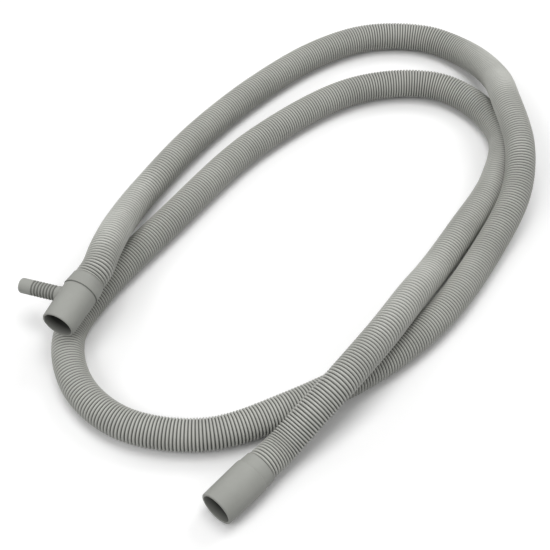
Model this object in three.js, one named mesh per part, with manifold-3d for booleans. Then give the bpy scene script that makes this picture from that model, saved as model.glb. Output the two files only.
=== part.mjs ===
// Washing machine drain hose: one long ribbed hose lying in a loose loop on the floor,
// with a plain straight cuff on its outlet end and, on its machine end, a cuff that has
// a small side branch moulded on it. Millimetres, +Z up, the floor at Z = 0.
import * as THREE from 'three';
import { mergeVertices } from 'three/addons/utils/BufferGeometryUtils.js';
import Module from 'manifold-3d';

// Hose
const HOSE_OD = 24;
const HOSE_BORE = 19.4;
const HOSE_SIDES = 12;
const HOSE_STEPS = 80;
const GROOVE_DEPTH = 1.2;
const NECK_LENGTH = 12;

// Where two pieces meet
const FIT_GAP = 0.3;
const STOP_LENGTH = 3;

// Outlet cuff, lying on the floor
const OUTLET_LENGTH = 42.7;
const OUTLET_COLLAR_OD = 25.3;
const OUTLET_COLLAR_LENGTH = 8.4;
const OUTLET_BODY_OD = 27.1;
const OUTLET_MOUTH_OD = 26.1;
const OUTLET_MOUTH_BORE = 22.3;

// Machine-end cuff, lying on the loop
const MACHINE_LENGTH = 42.2;
const MACHINE_COLLAR_OD = 25.2;
const MACHINE_COLLAR_LENGTH = 10.8;
const MACHINE_FLARE_OD = 27.5;
const MACHINE_BODY_OD = 26.2;
const MACHINE_MOUTH_OD = 24.9;
const MACHINE_MOUTH_BORE = 22;

// Rims and steps of both cuffs
const RIM_ROUND = 0.8;
const STEP_LENGTH = 0.5;
const CUFF_SEGMENTS = 32;

// Side branch moulded on the machine-end cuff
const BRANCH_PLACE = 16.4;
const BRANCH_REACH = 46;
const BRANCH_OD = 11.4;
const BRANCH_ROOT_OD = 9.9;
const BRANCH_BORE = 7.5;
const BRANCH_TIP_LENGTH = 9.5;
const BRANCH_TIP_ROUND = 1;
const BRANCH_RIDGE_COUNT = 8;
const BRANCH_RIDGE_PITCH = 2.3;
const BRANCH_BASE_OD = 13.2;
const BRANCH_LEAN_DEG = 5;
const BRANCH_DROOP_DEG = 6.5;
const BRANCH_SEGMENTS = 20;

// The hose's centreline, from the machine end to the outlet. It runs up the left side,
// round the far end and down the right, crosses below itself, goes round the near end,
// below the machine-end cuff, up and round again inside the first turn, and comes back
// over the first turn to the outlet on the floor.
const ROUTE_POINTS = [
  [-98.6, -155.9, 41],
  [-99.4, -143.9, 42],
  [-105, -126.4, 41.5],
  [-111.2, -108.4, 37.2],
  [-119.3, -86, 27.8],
  [-129.8, -42.5, 14],
  [-129, 34.5, 12.3],
  [-115, 116, 12],
  [-92, 182.5, 12],
  [-63, 223, 12],
  [-20, 246, 12.2],
  [23, 242.5, 14],
  [59.6, 216, 24.5],
  [83, 182, 36],
  [115, 137.5, 34.2],
  [129.7, 99, 23.8],
  [132.1, 43, 13.2],
  [127.8, -33, 12.3],
  [109.3, -96.5, 12],
  [73, -162, 12],
  [34, -210, 12],
  [-20, -231, 12],
  [-65, -221, 12],
  [-96.6, -188.5, 12],
  [-103, -143.5, 12],
  [-96.8, -58, 12],
  [-82, 58, 12],
  [-40, 155, 12.3],
  [13.5, 191.5, 13.4],
  [55, 188.5, 12.4],
  [92, 162, 12],
  [107, 111, 12.1],
  [107, 50, 12.6],
  [106, 1, 14.9],
  [106.3, -39.3, 26.8],
  [106.5, -88, 36.6],
  [101, -137, 36.3],
  [94.3, -163.2, 28.3],
  [85.5, -194, 15.9],
  [80.7, -215, 14.95],
];

// Colours of the moulded plastic
const HOSE_COLOUR = 0xa2a39e;
const CUFF_COLOUR = 0xa6a7a2;
const HOSE_ROUGHNESS = 0.5;
const CUFF_ROUGHNESS = 0.45;

// Sizes that follow from the ones above
const HOSE_RADIUS = HOSE_OD / 2;
const BORE_RADIUS = HOSE_BORE / 2;
const NECK_RADIUS = HOSE_RADIUS - GROOVE_DEPTH;
const SOCKET_RADIUS = NECK_RADIUS + FIT_GAP;
const SOCKET_DEPTH = NECK_LENGTH;
const CUT_OVERRUN = 2;

const wasm = await Module();
wasm.setup();
const { Manifold, Mesh: SolidMesh } = wasm;

// A closed geometry as a solid: shared corners merged, and the triangles that a lathe
// folds flat at its axis left out.
function toSolid(geometry) {
  const bare = new THREE.BufferGeometry();
  bare.setAttribute('position', geometry.getAttribute('position'));
  bare.setIndex(geometry.getIndex());
  const merged = mergeVertices(bare, 1e-4);
  const index = merged.getIndex().array;
  const triangles = [];
  for (let i = 0; i < index.length; i += 3) {
    const [a, b, c] = [index[i], index[i + 1], index[i + 2]];
    if (a !== b && b !== c && c !== a) {
      triangles.push(a, b, c);
    }
  }
  const mesh = new SolidMesh({
    numProp: 3,
    vertProperties: new Float32Array(merged.getAttribute('position').array),
    triVerts: new Uint32Array(triangles),
  });
  return new Manifold(mesh);
}

function toGeometry(solid) {
  const mesh = solid.getMesh();
  const geometry = new THREE.BufferGeometry();
  geometry.setAttribute('position', new THREE.BufferAttribute(mesh.vertProperties, 3));
  geometry.setIndex(new THREE.BufferAttribute(mesh.triVerts, 1));
  geometry.computeVertexNormals();
  return geometry;
}

// A body turned about +Z from [radius, height] pairs that start and end on the axis.
function turned(profile, segments) {
  const points = profile.map(([radius, height]) => new THREE.Vector2(radius, height));
  const geometry = new THREE.LatheGeometry(points, segments);
  geometry.rotateX(Math.PI / 2);
  return toSolid(geometry);
}

// A regular polygon as an outline for a swept section.
function sectionOutline(radius) {
  const corners = [];
  for (let i = 0; i < HOSE_SIDES; i += 1) {
    const angle = (2 * Math.PI * i) / HOSE_SIDES;
    corners.push(new THREE.Vector2(radius * Math.cos(angle), radius * Math.sin(angle)));
  }
  return new THREE.Shape(corners);
}

function sweptAlong(curve, radius) {
  const options = { extrudePath: curve, steps: HOSE_STEPS, bevelEnabled: false };
  return toSolid(new THREE.ExtrudeGeometry(sectionOutline(radius), options));
}

// A frame at one end of the hose: +Z runs out of the end and +X is level.
function endFrame(position, outward) {
  const side = new THREE.Vector3(0, 0, 1).cross(outward).normalize();
  const up = outward.clone().cross(side);
  return new THREE.Matrix4().makeBasis(side, up, outward).setPosition(position);
}

const route = new THREE.CatmullRomCurve3(
  ROUTE_POINTS.map((point) => new THREE.Vector3(...point)),
  false,
  'centripetal',
);
route.arcLengthDivisions = 2000;

const machineEnd = endFrame(route.getPointAt(0), route.getTangentAt(0).negate());
const outletEnd = endFrame(route.getPointAt(1), route.getTangentAt(1));

// The hose: a ribbed tube drawn here over its crests, with a smooth neck at each end
// that plugs into a cuff. The bore runs right through.
function neckAt(frame) {
  const neck = turned(
    [
      [0, -CUT_OVERRUN],
      [NECK_RADIUS, -CUT_OVERRUN],
      [NECK_RADIUS, NECK_LENGTH],
      [0, NECK_LENGTH],
    ],
    CUFF_SEGMENTS,
  );
  return neck.transform(frame.elements);
}

function neckBoreAt(frame) {
  const bore = turned(
    [
      [0, -CUT_OVERRUN],
      [BORE_RADIUS, -CUT_OVERRUN],
      [BORE_RADIUS, NECK_LENGTH + CUT_OVERRUN],
      [0, NECK_LENGTH + CUT_OVERRUN],
    ],
    CUFF_SEGMENTS,
  );
  return bore.transform(frame.elements);
}

function buildHose() {
  return sweptAlong(route, HOSE_RADIUS)
    .add(neckAt(machineEnd))
    .add(neckAt(outletEnd))
    .subtract(sweptAlong(route, BORE_RADIUS))
    .subtract(neckBoreAt(machineEnd))
    .subtract(neckBoreAt(outletEnd));
}

// The hollow of a cuff: a socket for the neck, a stop ring as wide as the hose's bore,
// and the mouth bore beyond it.
function cuffHollow(length, mouthBore) {
  const mouthRadius = mouthBore / 2;
  return turned(
    [
      [0, -CUT_OVERRUN],
      [SOCKET_RADIUS, -CUT_OVERRUN],
      [SOCKET_RADIUS, SOCKET_DEPTH],
      [BORE_RADIUS, SOCKET_DEPTH],
      [BORE_RADIUS, SOCKET_DEPTH + STOP_LENGTH],
      [mouthRadius, SOCKET_DEPTH + STOP_LENGTH],
      [mouthRadius, length + CUT_OVERRUN],
      [0, length + CUT_OVERRUN],
    ],
    CUFF_SEGMENTS,
  );
}

// The last stretch of a cuff's outside: a taper to the mouth and a rounded rim.
function rimProfile(mouthOd, length) {
  const radius = mouthOd / 2;
  return [
    [radius, length - RIM_ROUND],
    [radius - 0.3 * RIM_ROUND, length - 0.3 * RIM_ROUND],
    [radius - RIM_ROUND, length],
    [0, length],
  ];
}

function buildOutletCuff() {
  const outside = turned(
    [
      [0, 0],
      [OUTLET_COLLAR_OD / 2, 0],
      [OUTLET_COLLAR_OD / 2 + FIT_GAP, OUTLET_COLLAR_LENGTH],
      [OUTLET_BODY_OD / 2, OUTLET_COLLAR_LENGTH + STEP_LENGTH],
      ...rimProfile(OUTLET_MOUTH_OD, OUTLET_LENGTH),
    ],
    CUFF_SEGMENTS,
  );
  return outside.subtract(cuffHollow(OUTLET_LENGTH, OUTLET_MOUTH_BORE));
}

// The branch's own frame: +Z runs out of the cuff's side, from the cuff's axis.
function branchFrame() {
  const lean = THREE.MathUtils.degToRad(BRANCH_LEAN_DEG);
  const droop = THREE.MathUtils.degToRad(BRANCH_DROOP_DEG);
  const outward = new THREE.Vector3(
    -Math.cos(lean) * Math.cos(droop),
    -Math.cos(lean) * Math.sin(droop),
    Math.sin(lean),
  );
  return endFrame(new THREE.Vector3(0, 0, BRANCH_PLACE), outward);
}

function branchOutside() {
  const crest = BRANCH_OD / 2;
  const root = BRANCH_ROOT_OD / 2;
  const ridgesEnd = BRANCH_REACH - BRANCH_TIP_LENGTH;
  const ridgesStart = ridgesEnd - BRANCH_RIDGE_COUNT * BRANCH_RIDGE_PITCH;
  const profile = [
    [0, 0],
    [BRANCH_BASE_OD / 2, 0],
    [crest, ridgesStart],
  ];
  for (let i = 0; i < BRANCH_RIDGE_COUNT; i += 1) {
    const grooveAt = ridgesStart + i * BRANCH_RIDGE_PITCH;
    profile.push([root, grooveAt + 0.3 * BRANCH_RIDGE_PITCH]);
    profile.push([root, grooveAt + 0.5 * BRANCH_RIDGE_PITCH]);
    profile.push([crest, grooveAt + 0.8 * BRANCH_RIDGE_PITCH]);
    profile.push([crest, grooveAt + BRANCH_RIDGE_PITCH]);
  }
  profile.push([crest, BRANCH_REACH - BRANCH_TIP_ROUND]);
  profile.push([crest - BRANCH_TIP_ROUND, BRANCH_REACH]);
  profile.push([0, BRANCH_REACH]);
  return turned(profile, BRANCH_SEGMENTS);
}

function branchBore() {
  const radius = BRANCH_BORE / 2;
  return turned(
    [
      [0, 0],
      [radius, 0],
      [radius, BRANCH_REACH + CUT_OVERRUN],
      [0, BRANCH_REACH + CUT_OVERRUN],
    ],
    BRANCH_SEGMENTS,
  );
}

function buildMachineCuff() {
  const frame = branchFrame();
  const outside = turned(
    [
      [0, 0],
      [MACHINE_COLLAR_OD / 2, 0],
      [MACHINE_FLARE_OD / 2, MACHINE_COLLAR_LENGTH],
      [MACHINE_BODY_OD / 2, MACHINE_COLLAR_LENGTH + STEP_LENGTH],
      ...rimProfile(MACHINE_MOUTH_OD, MACHINE_LENGTH),
    ],
    CUFF_SEGMENTS,
  );
  return outside
    .add(branchOutside().transform(frame.elements))
    .subtract(cuffHollow(MACHINE_LENGTH, MACHINE_MOUTH_BORE))
    .subtract(branchBore().transform(frame.elements));
}

function plastic(colour, roughness) {
  return new THREE.MeshStandardMaterial({ color: colour, roughness, metalness: 0 });
}

function namedMesh(name, solid, material) {
  const mesh = new THREE.Mesh(toGeometry(solid), material);
  mesh.name = name;
  return mesh;
}

// A cuff's mesh, set on the end of the hose with its face just clear of it.
function cuffOnEnd(name, solid, frame) {
  const mesh = namedMesh(name, solid, plastic(CUFF_COLOUR, CUFF_ROUGHNESS));
  mesh.position.setFromMatrixPosition(frame);
  mesh.quaternion.setFromRotationMatrix(frame);
  mesh.translateZ(FIT_GAP);
  return mesh;
}

const drainHose = new THREE.Group();
drainHose.name = 'drain_hose';
drainHose.add(namedMesh('hose', buildHose(), plastic(HOSE_COLOUR, HOSE_ROUGHNESS)));
drainHose.add(cuffOnEnd('outlet_cuff', buildOutletCuff(), outletEnd));
drainHose.add(cuffOnEnd('machine_cuff', buildMachineCuff(), machineEnd));

export default drainHose;
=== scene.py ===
"""Washing machine drain hose lying in a loose loop, dressed and lit for a studio picture."""

import math

import bpy
import numpy as np
from bpy.props import FloatProperty, FloatVectorProperty, IntProperty, PointerProperty
from mathutils import Matrix, Vector


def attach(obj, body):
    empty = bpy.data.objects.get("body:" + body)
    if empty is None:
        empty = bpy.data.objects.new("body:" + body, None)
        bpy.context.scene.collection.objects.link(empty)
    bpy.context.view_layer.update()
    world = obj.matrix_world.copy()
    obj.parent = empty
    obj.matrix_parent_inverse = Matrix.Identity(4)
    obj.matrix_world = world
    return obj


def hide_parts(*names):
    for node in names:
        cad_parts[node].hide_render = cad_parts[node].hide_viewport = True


bl_info = {
    "name": "Drain Hose",
    "version": (1, 0, 0),
    "blender": (4, 5, 0),
    "location": "View3D > Sidebar > Drain Hose",
    "description": "Builds a ribbed drain hose with its two cuffs, and a pale studio round it",
    "category": "Object",
}

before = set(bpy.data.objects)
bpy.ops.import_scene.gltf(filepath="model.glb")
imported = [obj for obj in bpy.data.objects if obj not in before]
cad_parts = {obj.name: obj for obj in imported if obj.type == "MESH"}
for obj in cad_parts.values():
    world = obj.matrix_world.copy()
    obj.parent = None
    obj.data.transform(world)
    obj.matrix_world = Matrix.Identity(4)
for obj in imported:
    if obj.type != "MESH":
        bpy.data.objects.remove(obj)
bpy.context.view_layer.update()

# The hose's centreline in metres, from the machine end to the outlet.
HOSE_ROUTE = [
    (-0.0986, -0.1559, 0.041),
    (-0.0994, -0.1439, 0.042),
    (-0.105, -0.1264, 0.0415),
    (-0.1112, -0.1084, 0.0372),
    (-0.1193, -0.086, 0.0278),
    (-0.1298, -0.0425, 0.014),
    (-0.129, 0.0345, 0.0123),
    (-0.115, 0.116, 0.012),
    (-0.092, 0.1825, 0.012),
    (-0.063, 0.223, 0.012),
    (-0.020, 0.246, 0.0122),
    (0.023, 0.2425, 0.014),
    (0.0596, 0.216, 0.0245),
    (0.083, 0.182, 0.036),
    (0.115, 0.1375, 0.0342),
    (0.1297, 0.099, 0.0238),
    (0.1321, 0.043, 0.0132),
    (0.1278, -0.033, 0.0123),
    (0.1093, -0.0965, 0.012),
    (0.073, -0.162, 0.012),
    (0.034, -0.210, 0.012),
    (-0.020, -0.231, 0.012),
    (-0.065, -0.221, 0.012),
    (-0.0966, -0.1885, 0.012),
    (-0.103, -0.1435, 0.012),
    (-0.0968, -0.058, 0.012),
    (-0.082, 0.058, 0.012),
    (-0.040, 0.155, 0.0123),
    (0.0135, 0.1915, 0.0134),
    (0.055, 0.1885, 0.0124),
    (0.092, 0.162, 0.012),
    (0.107, 0.111, 0.0121),
    (0.107, 0.050, 0.0126),
    (0.106, 0.001, 0.0149),
    (0.1063, -0.0393, 0.0268),
    (0.1065, -0.088, 0.0366),
    (0.101, -0.137, 0.0363),
    (0.0943, -0.1632, 0.0283),
    (0.0855, -0.194, 0.0159),
    (0.0807, -0.215, 0.01495),
]

# Where the camera stood in metres, and its lens and sensor in millimetres.
CAMERA_PLACE = (0.3228, -0.6154, 0.7604)
CAMERA_TURN = (math.radians(40.5), 0.0, math.radians(30.0))
CAMERA_LENS = 85.1
CAMERA_SENSOR = 36.0

# Steps along the route between two of its points, when it is measured.
ROUTE_FINENESS = 60

# Rings along the hose's plain bore, directions measured for each of them, and steps along
# the hose when its grooves are placed.
BORE_RINGS = 220
DIRECTIONS_PER_RING = 4
GROOVE_STEPS = 4000

# One rib from its groove on: places as shares of the pitch, depths as shares of the groove.
# The depths also set how much shade is painted into the hose's colour.
RIB_PLACES = (0.0, 0.24, 0.5, 0.76)
RIB_DEPTHS = (1.0, 0.27, 0.0, 0.27)

# Stretches where the hose is drawn out and its ribs stand further apart: the middle of each
# and half its length in metres along the hose, and by how much the ribs open there.
OPEN_STRETCHES = ((0.097, 0.085, 0.42), (1.885, 0.1, 0.36))

# Name of the value on each mesh: 0 on its open faces, 1 in its recesses, where shade is
# painted.
RECESS = "recess"

# Both cuffs: the stop ring, the break of the inner edges, how far a cut runs past an end, and
# the steps round a rim and round a broken edge.
STOP_LENGTH = 0.003
EDGE_BREAK = 0.0003
CUT_PAST = 0.001
RIM_STEPS = 5
EDGE_STEPS = 3

# Outlet cuff: its outside is (radius, distance from the hose's face) up to the rim.
OUTLET_LENGTH = 0.0427
OUTLET_BORE = 0.0223
OUTLET_RIM_RADIUS = 0.01305
OUTLET_RIM_ROUNDING = 0.0009
OUTLET_OUTSIDE = (
    (0.01235, 0.0),
    (0.01265, 0.0003),
    (0.0127, 0.0035),
    (0.01284, 0.0078),
    (0.01294, 0.0082),
    (0.0133, 0.0085),
    (0.0135, 0.0089),
    (0.01355, 0.0095),
    (0.01348, 0.016),
    (0.01336, 0.025),
    (0.01321, 0.034),
)

# Machine-end cuff, in the same way, from its axis on, with a narrow ring groove.
MACHINE_LENGTH = 0.0422
MACHINE_BORE = 0.022
MACHINE_RIM_RADIUS = 0.01245
MACHINE_RIM_ROUNDING = 0.0008
RING_ROOT = 0.01272
RING_FROM, RING_TO = 0.0108, 0.0114
MACHINE_OUTSIDE = (
    (0.0, 0.0),
    (0.0122, 0.0),
    (0.0126, 0.0004),
    (0.0131, 0.005),
    (0.01366, 0.0101),
    (0.01374, 0.0106),
    (0.0136, 0.0108),
    (RING_ROOT, 0.0109),
    (RING_ROOT, 0.0113),
    (0.01304, 0.0116),
    (0.01311, 0.0121),
    (0.01308, 0.015),
    (0.013, 0.021),
    (0.01288, 0.027),
    (0.01274, 0.033),
    (0.01259, 0.038),
)

# Side branch: radii and distances from the cuff's axis, and its angles in degrees.
BRANCH_PLACE = 0.0164
BRANCH_REACH = 0.046
BRANCH_LEAN = 5.0
BRANCH_DROOP = 6.5
BRANCH_BORE = 0.0075
BRANCH_SIDES = 64
BRANCH_STEM = ((0.0, 0.0), (0.0066, 0.0), (0.0062, 0.0125), (0.0058, 0.0148))
BRANCH_RIBS_START = 0.0135
BRANCH_RIB_COUNT = 8
BRANCH_RIB_PITCH = 0.00255
BRANCH_CREST = 0.0058
BRANCH_FLANK = 0.0056
BRANCH_ROOT = 0.0047
BRANCH_TIP_LENGTH = 0.0095
BRANCH_TIP_STEP = 0.0004
BRANCH_TIP_START_RADIUS = 0.0057
BRANCH_TIP_RADIUS = 0.00565
BRANCH_TIP_ROUNDING = 0.0012

# How deep inside a mouth the bore's painted shade begins and is full, how much of it the
# grooves of the branch and the ring groove get, and how near a point counts as lying on a
# surface.
SHADE_STARTS = 0.0005
SHADE_FULL = 0.007
BRANCH_GROOVE_SHADE = 0.6
RING_GROOVE_SHADE = 0.4
ON_SURFACE = 0.0001

# Angles in degrees from which an edge stays sharp.
HOSE_CREASE = 60
CUFF_CREASE = 35

# The plastic: mottling per metre and grain in metres on the hose and the cuffs, how far the
# mottling goes down and up in tone and in roughness, the relief of the grain, and the gloss.
HOSE_MOTTLE, HOSE_GRAIN = 30.0, 0.0006
CUFF_MOTTLE, CUFF_GRAIN = 26.0, 0.0009
MOTTLE_DETAIL, MOTTLE_ROUGHNESS, GRAIN_DETAIL = 5.0, 0.6, 3.0
MOTTLE_LIMITS = (0.3, 0.7)
MOTTLE_TONES = (0.9, 1.06)
ROUGHNESS_SPREAD = (-0.06, 0.08)
GRAIN_STRENGTH = 0.12
GRAIN_HEIGHT = 0.0001
PLASTIC_IOR = 1.49
PLASTIC_SPECULAR = 0.35

# Sockets of a colour mix: its factor, its first colour and its result.
MIX_FACTOR, MIX_FIRST, MIX_RESULT = 0, 6, 2

# The studio: each light has a name, a place, a width and a power.
FLOOR_HEIGHT = -0.0002
FLOOR_REACH = 0.7
PAPER_SEEN_BRIGHTNESS = 2.3
ROOM_LIGHT = 0.33
STUDIO_LIGHTS = (
    ("overhead", (0.0, 0.05, 2.2), 1.3, 16.0),
    ("back", (0.4, 1.5, 1.55), 1.1, 10.5),
    ("front", (-0.4, -1.5, 1.55), 1.1, 10.5),
    ("left", (-1.5, 0.4, 1.55), 1.1, 6.5),
    ("right", (1.5, -0.4, 1.55), 1.1, 4.5),
)


class DrainHoseSizes(bpy.types.PropertyGroup):
    """Sizes of the hose and its cuffs."""

    hose_od: FloatProperty(
        name="Hose diameter",
        description="Diameter over the hose's ribs",
        default=0.024,
        unit="LENGTH",
    )
    hose_bore: FloatProperty(
        name="Hose bore",
        description="Clear width inside the hose",
        default=0.0194,
        unit="LENGTH",
    )
    rib_pitch: FloatProperty(
        name="Rib pitch",
        description="Distance from one rib to the next",
        default=0.0024,
        unit="LENGTH",
    )
    rib_depth: FloatProperty(
        name="Rib depth",
        description="How far the grooves lie below the ribs",
        default=0.0016,
        unit="LENGTH",
    )
    neck_od: FloatProperty(
        name="Neck diameter",
        description="Diameter of the hose's smooth ends inside the cuffs",
        default=0.0216,
        unit="LENGTH",
    )
    hose_sides: IntProperty(
        name="Hose sides",
        description="Flat sides round the hose",
        default=24,
        min=12,
        max=26,
    )
    neck_length: FloatProperty(
        name="Neck length",
        description="Smooth end of the hose inside each cuff",
        default=0.012,
        unit="LENGTH",
    )
    fit_gap: FloatProperty(
        name="Fit gap",
        description="Clearance where a cuff meets the hose",
        default=0.0003,
        unit="LENGTH",
    )
    cuff_sides: IntProperty(
        name="Cuff sides",
        description="Flat sides round each cuff",
        default=96,
        min=24,
        max=160,
    )


class DrainHoseColours(bpy.types.PropertyGroup):
    """Colours and gloss of the plastic and the studio."""

    hose_colour: FloatVectorProperty(
        name="Hose colour",
        description="Grey of the hose's ribs",
        subtype="COLOR",
        size=3,
        default=(0.615, 0.62, 0.58),
        min=0.0,
        max=1.0,
    )
    # Painted shade: this darker grey stands in for the shade down in the grooves and bores.
    painted_shade_colour: FloatVectorProperty(
        name="Recess colour",
        description="Darker grey down in the grooves and bores, where dirt settles",
        subtype="COLOR",
        size=3,
        default=(0.05, 0.051, 0.046),
        min=0.0,
        max=1.0,
    )
    cuff_colour: FloatVectorProperty(
        name="Cuff colour",
        description="Grey of the moulded cuffs",
        subtype="COLOR",
        size=3,
        default=(0.35, 0.355, 0.33),
        min=0.0,
        max=1.0,
    )
    hose_roughness: FloatProperty(
        name="Hose roughness",
        description="How matt the ribbed hose is",
        default=0.45,
        min=0.0,
        max=1.0,
    )
    cuff_roughness: FloatProperty(
        name="Cuff roughness",
        description="How matt the cuffs are",
        default=0.6,
        min=0.0,
        max=1.0,
    )
    floor_colour: FloatVectorProperty(
        name="Floor colour",
        description="Paper under the hose",
        subtype="COLOR",
        size=3,
        default=(0.45, 0.45, 0.45),
        min=0.0,
        max=1.0,
    )


def route_points():
    """The smooth line through HOSE_ROUTE, close together."""
    knots = np.array(HOSE_ROUTE)
    before = 2 * knots[0] - knots[1]
    after = 2 * knots[-1] - knots[-2]
    padded = np.vstack([before, knots, after])
    t = (np.arange(ROUTE_FINENESS) / ROUTE_FINENESS)[:, None]
    pieces = []
    for i in range(len(knots) - 1):
        p0, p1, p2, p3 = padded[i : i + 4]
        d0, d1, d2 = (np.linalg.norm(b - a) ** 0.5 for a, b in ((p0, p1), (p1, p2), (p2, p3)))
        leave = ((p1 - p0) / d0 - (p2 - p0) / (d0 + d1) + (p2 - p1) / d1) * d1
        arrive = ((p2 - p1) / d1 - (p3 - p1) / (d1 + d2) + (p3 - p2) / d2) * d1
        pieces.append(
            (2 * t**3 - 3 * t**2 + 1) * p1
            + (t**3 - 2 * t**2 + t) * leave
            + (3 * t**2 - 2 * t**3) * p2
            + (t**3 - t**2) * arrive
        )
    pieces.append(knots[-1:])
    return np.vstack(pieces)


def along_route(points):
    """Distance of each point from the first one, along the line."""
    steps = np.linalg.norm(np.diff(points, axis=0), axis=1)
    return np.concatenate([[0.0], np.cumsum(steps)])


def machine_end():
    """Where the hose starts, and the way out of it."""
    first, second = (Vector(p) for p in HOSE_ROUTE[:2])
    return first, (first - second).normalized()


def outlet_end():
    """Where the hose stops, and the way out of it."""
    before, last = (Vector(p) for p in HOSE_ROUTE[-2:])
    return last, (last - before).normalized()


def end_frame(place, outward):
    """Frame with +Z along the way out and +X level."""
    side = Vector((0, 0, 1)).cross(outward).normalized()
    up = outward.cross(side)
    turn = Matrix((side, up, outward)).transposed()
    return Matrix.Translation(place) @ turn.to_4x4()


def centres_at(distances):
    """Points of the hose's line at these distances, running straight on past both ends."""
    points = route_points()
    run = along_route(points)
    inside = np.clip(distances, 0.0, run[-1])
    centres = np.column_stack([np.interp(inside, run, points[:, axis]) for axis in range(3)])
    start, start_out = machine_end()
    stop, stop_out = outlet_end()
    before = distances < 0
    after = distances > run[-1]
    centres[before] = np.array(start) - distances[before, None] * np.array(start_out)
    centres[after] = np.array(stop) + (distances[after, None] - run[-1]) * np.array(stop_out)
    return centres


def hose_length():
    """Length of the hose's line from one face to the other."""
    return float(along_route(route_points())[-1])


def untwisted_sides(tangents):
    """A side direction for each tangent, carried along without twist."""
    side = np.cross((0.0, 0.0, 1.0), tangents[0])
    side /= np.linalg.norm(side)
    sides = []
    for tangent in tangents:
        side = side - tangent * side.dot(tangent)
        side /= np.linalg.norm(side)
        sides.append(side)
    return np.array(sides)


# Meshes


def rings_to_mesh(name, rings):
    """A closed skin through rings of points, the last ring joined to the first."""
    count, around = rings.shape[:2]
    index = np.arange(count * around).reshape(count, around)
    ahead = np.roll(index, -1, axis=0)
    faces = np.stack(
        [index, np.roll(index, -1, axis=1), np.roll(ahead, -1, axis=1), ahead], axis=-1
    )
    mesh = bpy.data.meshes.new(name)
    mesh.from_pydata(rings.reshape(-1, 3).tolist(), [], faces.reshape(-1, 4).tolist())
    mesh.update()
    return mesh


def turned_rings(profile, sides):
    """Rings about +Z through (radius, height) pairs."""
    angles = 2 * math.pi * np.arange(sides) / sides
    circle = np.column_stack([np.cos(angles), np.sin(angles), np.zeros(sides)])
    return np.array([radius * circle + (0, 0, height) for radius, height in profile])


def smooth_with_creases(mesh, degrees):
    """Shade a mesh smooth, apart from edges that turn by more than this."""
    mesh.polygons.foreach_set("use_smooth", [True] * len(mesh.polygons))
    mesh.set_sharp_from_angle(angle=math.radians(degrees))


def mark_painted_shade(mesh, depths):
    """Write how deep in a groove or a bore each point lies, for the shade painted into the
    colour.
    """
    recess = mesh.attributes.new(RECESS, "FLOAT", "POINT")
    recess.data.foreach_set("value", np.asarray(depths, dtype=np.float32))


def bore_depths(mesh, frame_in, bore, mouth):
    """Depth of each point in a bore about a frame's +Z, for painted shade: 0 at its mouth, 1
    far inside.
    """
    into_frame = frame_in.inverted()
    depths = []
    for vertex in mesh.vertices:
        x, y, height = into_frame @ vertex.co
        shade = (mouth - height - SHADE_STARTS) / (SHADE_FULL - SHADE_STARTS)
        inside = height > 0 and math.hypot(x, y) < bore / 2 + ON_SURFACE
        depths.append(min(max(shade, 0.0), 1.0) if inside else 0.0)
    return np.array(depths)


def add_piece(name, mesh, material):
    """A finished piece of the hose, riding on the CAD body."""
    piece = bpy.data.objects.new(name, mesh)
    bpy.context.scene.collection.objects.link(piece)
    mesh.materials.clear()
    mesh.materials.append(material)
    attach(piece, "root")
    return piece


def rounded(radius, height, size, outward, steps=RIM_STEPS):
    """Corner of a rim: from its side (outward 1, or -1 inside the bore) to its flat top."""
    centre_radius = radius - outward * size
    corner = []
    for i in range(steps + 1):
        angle = math.pi / 2 * i / steps
        out = centre_radius + outward * size * math.cos(angle)
        corner.append((out, height - size + size * math.sin(angle)))
    return corner


# Plastic and paper


def link(tree, source, output, target, socket):
    """Join one node's output to another node's input."""
    tree.links.new(source.outputs[output], target.inputs[socket])


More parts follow.
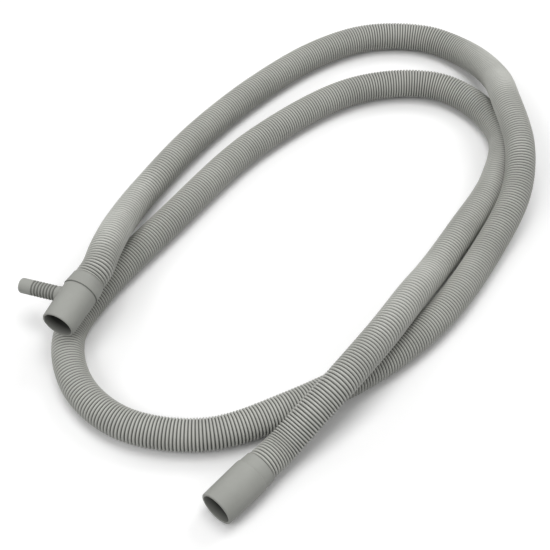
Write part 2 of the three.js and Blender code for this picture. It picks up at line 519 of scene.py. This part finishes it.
def satin_plastic(name, colour, painted_shade_colour, roughness, mottle_scale, grain_size):
    """Moulded grey plastic: faint mottling, painted shade in the recesses, uneven gloss and a
    fine grain.
    """
    material = bpy.data.materials.new(name)
    material.use_nodes = True
    material.diffuse_color = (*colour, 1.0)
    tree = material.node_tree
    shader = tree.nodes["Principled BSDF"]
    place = tree.nodes.new("ShaderNodeTexCoord")

    mottle = tree.nodes.new("ShaderNodeTexNoise")
    mottle.inputs["Scale"].default_value = mottle_scale
    mottle.inputs["Detail"].default_value = MOTTLE_DETAIL
    mottle.inputs["Roughness"].default_value = MOTTLE_ROUGHNESS
    link(tree, place, "Object", mottle, "Vector")

    shades = tree.nodes.new("ShaderNodeValToRGB")
    for end, position, tone in zip(shades.color_ramp.elements, MOTTLE_LIMITS, MOTTLE_TONES):
        end.position = position
        end.color = (*(tone * c for c in colour), 1.0)
    link(tree, mottle, "Fac", shades, "Fac")

    # Painted shade: the recess value mixes the colour towards the darker painted-shade grey.
    depth = tree.nodes.new("ShaderNodeAttribute")
    depth.attribute_name = RECESS
    painted_shade_mix = tree.nodes.new("ShaderNodeMix")
    painted_shade_mix.data_type = "RGBA"
    painted_shade_mix.inputs["B"].default_value = (*painted_shade_colour, 1.0)
    link(tree, depth, "Fac", painted_shade_mix, MIX_FACTOR)
    link(tree, shades, "Color", painted_shade_mix, MIX_FIRST)
    link(tree, painted_shade_mix, MIX_RESULT, shader, "Base Color")

    gloss = tree.nodes.new("ShaderNodeMapRange")
    gloss.inputs["To Min"].default_value = roughness + ROUGHNESS_SPREAD[0]
    gloss.inputs["To Max"].default_value = roughness + ROUGHNESS_SPREAD[1]
    link(tree, mottle, "Fac", gloss, "Value")
    link(tree, gloss, "Result", shader, "Roughness")

    grain = tree.nodes.new("ShaderNodeTexNoise")
    grain.inputs["Scale"].default_value = 1.0 / grain_size
    grain.inputs["Detail"].default_value = GRAIN_DETAIL
    link(tree, place, "Object", grain, "Vector")
    relief = tree.nodes.new("ShaderNodeBump")
    relief.inputs["Strength"].default_value = GRAIN_STRENGTH
    relief.inputs["Distance"].default_value = GRAIN_HEIGHT
    link(tree, grain, "Fac", relief, "Height")
    link(tree, relief, "Normal", shader, "Normal")

    shader.inputs["Metallic"].default_value = 0.0
    shader.inputs["IOR"].default_value = PLASTIC_IOR
    shader.inputs["Specular IOR Level"].default_value = PLASTIC_SPECULAR
    return material


def studio_paper(colour, seen_brightness):
    """Floor paper that the camera and reflections see as plain white, shadows kept."""
    material = bpy.data.materials.new("studio_paper")
    material.use_nodes = True
    tree = material.node_tree
    tree.nodes.clear()
    out = tree.nodes.new("ShaderNodeOutputMaterial")
    matt = tree.nodes.new("ShaderNodeBsdfDiffuse")
    rays = tree.nodes.new("ShaderNodeLightPath")
    seen = tree.nodes.new("ShaderNodeMath")
    seen.operation = "MAXIMUM"
    link(tree, rays, "Is Camera Ray", seen, 0)
    link(tree, rays, "Is Glossy Ray", seen, 1)
    through = tree.nodes.new("ShaderNodeMath")
    through.operation = "MAXIMUM"
    link(tree, seen, 0, through, 0)
    link(tree, rays, "Is Transmission Ray", through, 1)
    shade = tree.nodes.new("ShaderNodeMix")
    shade.data_type = "RGBA"
    shade.clamp_result = False
    shade.inputs["A"].default_value = (*colour, 1.0)
    shade.inputs["B"].default_value = (*(seen_brightness * c for c in colour), 1.0)
    link(tree, through, 0, shade, MIX_FACTOR)
    link(tree, shade, MIX_RESULT, matt, "Color")
    link(tree, matt, "BSDF", out, "Surface")
    return material


# Pieces


def groove_places(length, pitch):
    """Distance of each groove from the machine end, both ends of the hose included."""
    steps = np.linspace(0.0, length, GROOVE_STEPS)
    wider = np.ones_like(steps)
    for middle, half, share in OPEN_STRETCHES:
        wider += share * np.clip(1.0 - ((steps - middle) / half) ** 2, 0.0, None) ** 2
    ribs_so_far = np.cumsum(1.0 / (pitch * wider))
    ribs_so_far -= ribs_so_far[0]
    ribs_so_far *= steps[1]
    count = round(ribs_so_far[-1])
    wanted = np.linspace(0.0, ribs_so_far[-1], count + 1)
    return np.interp(wanted, ribs_so_far, steps)


def rib_profile(places, crest, root):
    """Distances, radii and groove depths (also the painted shade) along the ribs: narrow
    grooves, rounded crests.
    """
    pitches = np.diff(places)[:, None]
    distances = places[:-1, None] + pitches * np.array(RIB_PLACES)
    depth = np.array(RIB_DEPTHS)
    radii = np.tile(crest - depth * (crest - root), (len(pitches), 1))
    return distances.ravel(), radii.ravel(), np.tile(depth, len(pitches))


class DRAINHOSE_OT_stage(bpy.types.Operator):
    """Set up the camera, the paper floor and the soft lights"""

    bl_idname = "drainhose.stage"
    bl_label = "Stage"

    def execute(self, context):
        colours = context.scene.drain_hose_colours
        lens = bpy.data.cameras.new("camera")
        lens.sensor_width = CAMERA_SENSOR
        lens.lens = CAMERA_LENS
        camera = bpy.data.objects.new("camera", lens)
        camera.location = CAMERA_PLACE
        camera.rotation_euler = CAMERA_TURN
        context.scene.collection.objects.link(camera)
        context.scene.camera = camera

        paper = bpy.data.meshes.new("paper")
        corners = [(-1, -1), (1, -1), (1, 1), (-1, 1)]
        points = [(FLOOR_REACH * x, FLOOR_REACH * y, FLOOR_HEIGHT) for x, y in corners]
        paper.from_pydata(points, [], [(0, 1, 2, 3)])
        paper.materials.append(studio_paper(colours.floor_colour, PAPER_SEEN_BRIGHTNESS))
        floor = bpy.data.objects.new("paper", paper)
        context.scene.collection.objects.link(floor)

        for name, place, width, power in STUDIO_LIGHTS:
            light = bpy.data.lights.new(name, "AREA")
            light.shape = "DISK"
            light.size = width
            light.energy = power
            lamp = bpy.data.objects.new(name, light)
            lamp.location = place
            lamp.rotation_euler = (-Vector(place)).to_track_quat("-Z", "Y").to_euler()
            context.scene.collection.objects.link(lamp)

        self.light_the_room(context)
        context.scene.view_settings.view_transform = "Standard"
        return {"FINISHED"}

    def light_the_room(self, context):
        """Even light from all round, which the camera sees as white."""
        world = bpy.data.worlds.new("studio")
        context.scene.world = world
        world.use_nodes = True
        tree = world.node_tree
        background = tree.nodes["Background"]
        background.inputs["Color"].default_value = (1.0, 1.0, 1.0, 1.0)
        rays = tree.nodes.new("ShaderNodeLightPath")
        strength = tree.nodes.new("ShaderNodeMapRange")
        strength.inputs["To Min"].default_value = ROOM_LIGHT
        strength.inputs["To Max"].default_value = 1.0
        link(tree, rays, "Is Camera Ray", strength, "Value")
        link(tree, strength, "Result", background, "Strength")


class DRAINHOSE_OT_ribbed_hose(bpy.types.Operator):
    """Build the ribbed hose along its route"""

    bl_idname = "drainhose.ribbed_hose"
    bl_label = "Ribbed hose"

    def execute(self, context):
        sizes = context.scene.drain_hose_sizes
        colours = context.scene.drain_hose_colours
        length = hose_length()
        crest = sizes.hose_od / 2
        root = crest - sizes.rib_depth
        places = groove_places(length, sizes.rib_pitch)
        ribs, rib_radii, rib_depths = rib_profile(places, crest, root)
        neck = sizes.neck_length
        neck_radius = sizes.neck_od / 2
        bore = np.linspace(length + neck, -neck, BORE_RINGS)
        distances = np.concatenate([[-neck, 0.0], ribs, [length, length, length + neck], bore])
        radii = np.concatenate(
            [
                [neck_radius, neck_radius],
                rib_radii,
                [root, neck_radius, neck_radius],
                np.full(BORE_RINGS, sizes.hose_bore / 2),
            ]
        )
        # Painted shade: groove depths darken the hose's colour, fully on its necks and in its
        # bore.
        depths = np.concatenate([[1.0, 1.0], rib_depths, np.ones(3 + BORE_RINGS)])

        steps = np.linspace(-neck, length + neck, DIRECTIONS_PER_RING * BORE_RINGS)
        line = centres_at(steps)
        tangents = np.gradient(line, axis=0)
        tangents /= np.linalg.norm(tangents, axis=1)[:, None]
        sides = untwisted_sides(tangents)

        centres = centres_at(distances)
        tangent = self.unit_at(distances, steps, tangents)
        side = self.unit_at(distances, steps, sides)
        side = side - tangent * np.sum(side * tangent, axis=1)[:, None]
        side /= np.linalg.norm(side, axis=1)[:, None]
        up = np.cross(tangent, side)
        angles = 2 * math.pi * np.arange(sizes.hose_sides) / sizes.hose_sides
        rings = centres[:, None] + radii[:, None, None] * (
            np.cos(angles)[None, :, None] * side[:, None]
            + np.sin(angles)[None, :, None] * up[:, None]
        )
        mesh = rings_to_mesh("ribbed_hose", rings)
        mark_painted_shade(mesh, np.repeat(depths, sizes.hose_sides))
        smooth_with_creases(mesh, HOSE_CREASE)
        plastic = satin_plastic(
            "satin_hose_plastic",
            tuple(colours.hose_colour),
            tuple(colours.painted_shade_colour),
            colours.hose_roughness,
            HOSE_MOTTLE,
            HOSE_GRAIN,
        )
        hose = add_piece("ribbed_hose", mesh, plastic)
        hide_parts("hose")
        return {"FINISHED"}

    def unit_at(self, distances, steps, vectors):
        """Directions between the measured ones, made unit length again."""
        found = np.column_stack([np.interp(distances, steps, vectors[:, a]) for a in range(3)])
        return found / np.linalg.norm(found, axis=1)[:, None]


def cuff_inside(length, mouth_bore, sizes):
    """(radius, height) pairs down a cuff's inside, from its mouth to its hose face."""
    mouth = mouth_bore / 2
    socket = sizes.neck_od / 2 + sizes.fit_gap
    stop = sizes.hose_bore / 2
    rim = rounded(mouth, length, EDGE_BREAK, -1, EDGE_STEPS)
    return rim[::-1] + [
        # Rings down the mouth where the painted shade starts, grows and is full.
        (mouth, length - SHADE_STARTS),
        (mouth, length - 0.5 * (SHADE_STARTS + SHADE_FULL)),
        (mouth, length - SHADE_FULL),
        (mouth, sizes.neck_length + STOP_LENGTH),
        (stop + EDGE_BREAK, sizes.neck_length + STOP_LENGTH),
        (stop, sizes.neck_length + STOP_LENGTH - EDGE_BREAK),
        (stop, sizes.neck_length),
        (socket, sizes.neck_length),
        (socket, EDGE_BREAK),
        (socket + EDGE_BREAK, 0.0),
    ]


class DRAINHOSE_OT_outlet_cuff(bpy.types.Operator):
    """Build the plain cuff on the outlet end"""

    bl_idname = "drainhose.outlet_cuff"
    bl_label = "Outlet cuff"

    def execute(self, context):
        sizes = context.scene.drain_hose_sizes
        colours = context.scene.drain_hose_colours
        profile = list(OUTLET_OUTSIDE)
        profile += rounded(OUTLET_RIM_RADIUS, OUTLET_LENGTH, OUTLET_RIM_ROUNDING, 1)
        profile += cuff_inside(OUTLET_LENGTH, OUTLET_BORE, sizes)
        mesh = rings_to_mesh("outlet_cuff_body", turned_rings(profile, sizes.cuff_sides))
        # Painted shade: darker colour down inside the outlet cuff's mouth.
        mark_painted_shade(mesh, bore_depths(mesh, Matrix(), OUTLET_BORE, OUTLET_LENGTH))
        place, outward = outlet_end()
        mesh.transform(end_frame(place + sizes.fit_gap * outward, outward))
        smooth_with_creases(mesh, CUFF_CREASE)
        plastic = satin_plastic(
            "satin_cuff_plastic",
            tuple(colours.cuff_colour),
            tuple(colours.painted_shade_colour),
            colours.cuff_roughness,
            CUFF_MOTTLE,
            CUFF_GRAIN,
        )
        cuff = add_piece("outlet_cuff_body", mesh, plastic)
        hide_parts("outlet_cuff")
        return {"FINISHED"}


class DRAINHOSE_OT_machine_cuff(bpy.types.Operator):
    """Build the machine-end cuff with its moulded side branch"""

    bl_idname = "drainhose.machine_cuff"
    bl_label = "Machine-end cuff"

    def execute(self, context):
        sizes = context.scene.drain_hose_sizes
        outside = list(MACHINE_OUTSIDE)
        outside += rounded(MACHINE_RIM_RADIUS, MACHINE_LENGTH, MACHINE_RIM_ROUNDING, 1)
        outside.append((0.0, MACHINE_LENGTH))
        inside = cuff_inside(MACHINE_LENGTH, MACHINE_BORE, sizes)[::-1]
        below, above = -CUT_PAST, MACHINE_LENGTH + CUT_PAST
        hollow = [(0.0, below), (inside[0][0], below), *inside]
        hollow += [(inside[-1][0], above), (0.0, above)]
        drilled, beyond = BRANCH_BORE / 2, BRANCH_REACH + 2 * CUT_PAST
        heights = (0.0, BRANCH_REACH - SHADE_FULL, BRANCH_REACH - SHADE_STARTS, beyond)
        bore = [(0.0, 0.0), *((drilled, height) for height in heights), (0.0, beyond)]

        frame_out = self.branch_frame()
        body = self.turned_solid("machine_cuff_body", outside, sizes.cuff_sides)
        arm = self.turned_solid("branch_outside", self.branch_outline(), BRANCH_SIDES)
        arm.data.transform(frame_out)
        well = self.turned_solid("cuff_hollow", hollow, sizes.cuff_sides)
        drill = self.turned_solid("branch_bore", bore, BRANCH_SIDES)
        drill.data.transform(frame_out)
        for other, work in ((arm, "UNION"), (well, "DIFFERENCE"), (drill, "DIFFERENCE")):
            step = body.modifiers.new(work, "BOOLEAN")
            step.operation = work
            step.solver = "EXACT"
            step.object = other
        context.view_layer.update()
        seen = body.evaluated_get(context.evaluated_depsgraph_get())
        mesh = bpy.data.meshes.new_from_object(seen)
        for spent in (body, arm, well, drill):
            bpy.data.objects.remove(spent)
        # Painted shade: darker colour inside the cuff's and branch's mouths and down their
        # grooves.
        in_cuff = bore_depths(mesh, Matrix(), MACHINE_BORE, MACHINE_LENGTH)
        in_branch = bore_depths(mesh, frame_out, BRANCH_BORE, BRANCH_REACH)
        in_grooves = self.groove_depths(mesh, frame_out)
        mark_painted_shade(mesh, np.maximum.reduce([in_cuff, in_branch, in_grooves]))
        place, outward = machine_end()
        mesh.transform(end_frame(place + sizes.fit_gap * outward, outward))
        smooth_with_creases(mesh, CUFF_CREASE)
        plastic = bpy.data.materials["satin_cuff_plastic"]
        cuff = add_piece("machine_cuff_body", mesh, plastic)
        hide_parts("machine_cuff")
        return {"FINISHED"}

    def turned_solid(self, name, profile, sides):
        """A solid turned about +Z; the profile starts and ends on the axis."""
        rings = turned_rings(profile[1:-1], sides)
        count = len(rings)
        points = rings.reshape(-1, 3).tolist()
        points += [(0.0, 0.0, profile[0][1]), (0.0, 0.0, profile[-1][1])]
        foot, head = len(points) - 2, len(points) - 1
        faces = []
        for i in range(sides):
            j = (i + 1) % sides
            faces.append((foot, j, i))
            for ring in range(count - 1):
                low, high = ring * sides, (ring + 1) * sides
                faces.append((low + i, low + j, high + j, high + i))
            faces.append((head, (count - 1) * sides + i, (count - 1) * sides + j))
        mesh = bpy.data.meshes.new(name)
        mesh.from_pydata(points, [], faces)
        solid = bpy.data.objects.new(name, mesh)
        bpy.context.scene.collection.objects.link(solid)
        return solid

    def branch_frame(self):
        """Frame of the branch in the cuff's own frame: it leans to the mouth and droops."""
        lean, droop = math.radians(BRANCH_LEAN), math.radians(BRANCH_DROOP)
        outward = Vector(
            (
                -math.cos(lean) * math.cos(droop),
                -math.cos(lean) * math.sin(droop),
                math.sin(lean),
            )
        )
        return end_frame(Vector((0, 0, BRANCH_PLACE)), outward)

    def groove_depths(self, mesh, branch_frame):
        """A lighter painted shade down in the branch's grooves and the cuff's ring groove,
        else 0.
        """
        into_branch = branch_frame.inverted()
        depths = []
        for vertex in mesh.vertices:
            x, y, height = into_branch @ vertex.co
            near_branch_root = abs(math.hypot(x, y) - BRANCH_ROOT) < ON_SURFACE
            near_ring_root = abs(math.hypot(*vertex.co[:2]) - RING_ROOT) < ON_SURFACE / 2
            if near_branch_root and height > BRANCH_RIBS_START:
                depths.append(BRANCH_GROOVE_SHADE)
            elif near_ring_root and RING_FROM < vertex.co.z < RING_TO:
                depths.append(RING_GROOVE_SHADE)
            else:
                depths.append(0.0)
        return np.array(depths)

    def branch_outline(self):
        """(radius, height) pairs: a cone out of the cuff, ribs, and a plain rounded tip."""
        outline = list(BRANCH_STEM)
        tip = BRANCH_REACH - BRANCH_TIP_LENGTH
        start = tip - BRANCH_RIB_COUNT * BRANCH_RIB_PITCH
        radii = (BRANCH_FLANK, BRANCH_ROOT, BRANCH_ROOT, BRANCH_FLANK, BRANCH_CREST)
        for i in range(BRANCH_RIB_COUNT):
            groove = start + i * BRANCH_RIB_PITCH
            for j, radius in enumerate(radii):
                outline.append((radius, groove + j / len(radii) * BRANCH_RIB_PITCH))
        outline.append((BRANCH_TIP_START_RADIUS, tip + BRANCH_TIP_STEP))
        outline += rounded(BRANCH_TIP_RADIUS, BRANCH_REACH, BRANCH_TIP_ROUNDING, 1)
        outline.append((0.0, BRANCH_REACH))
        return outline


class DRAINHOSE_OT_declare_hose(bpy.types.Operator):
    """Work out points along the hose's line, which are not kept"""

    bl_idname = "drainhose.declare_hose"
    bl_label = "Declare hose"

    def execute(self, context):
        length = hose_length()
        centres_at(np.linspace(0.0, length, 400)).tolist()
        return {"FINISHED"}


class DRAINHOSE_PT_sidebar(bpy.types.Panel):
    """Sizes, colours and buttons of the drain hose"""

    bl_label = "Drain Hose"
    bl_idname = "DRAINHOSE_PT_sidebar"
    bl_space_type = "VIEW_3D"
    bl_region_type = "UI"
    bl_category = "Drain Hose"

    def draw(self, context):
        layout = self.layout
        for heading, group in (
            ("Sizes", context.scene.drain_hose_sizes),
            ("Colours", context.scene.drain_hose_colours),
        ):
            box = layout.box()
            box.label(text=heading)
            for name in group.bl_rna.properties.keys():
                if name not in {"rna_type", "name"}:
                    box.prop(group, name)
        for operator in BUILD_ORDER:
            layout.operator(operator.bl_idname)


BUILD_ORDER = (
    DRAINHOSE_OT_stage,
    DRAINHOSE_OT_ribbed_hose,
    DRAINHOSE_OT_outlet_cuff,
    DRAINHOSE_OT_machine_cuff,
    DRAINHOSE_OT_declare_hose,
)

CLASSES = (DrainHoseSizes, DrainHoseColours, *BUILD_ORDER, DRAINHOSE_PT_sidebar)


def register():
    for cls in CLASSES:
        bpy.utils.register_class(cls)
    bpy.types.Scene.drain_hose_sizes = PointerProperty(type=DrainHoseSizes)
    bpy.types.Scene.drain_hose_colours = PointerProperty(type=DrainHoseColours)


def unregister():
    del bpy.types.Scene.drain_hose_colours
    del bpy.types.Scene.drain_hose_sizes
    for cls in reversed(CLASSES):
        bpy.utils.unregister_class(cls)


def main():
    register()
    bpy.ops.drainhose.stage()
    bpy.ops.drainhose.ribbed_hose()
    bpy.ops.drainhose.outlet_cuff()
    bpy.ops.drainhose.machine_cuff()
    bpy.ops.drainhose.declare_hose()


if __name__ == "__main__":
    main()
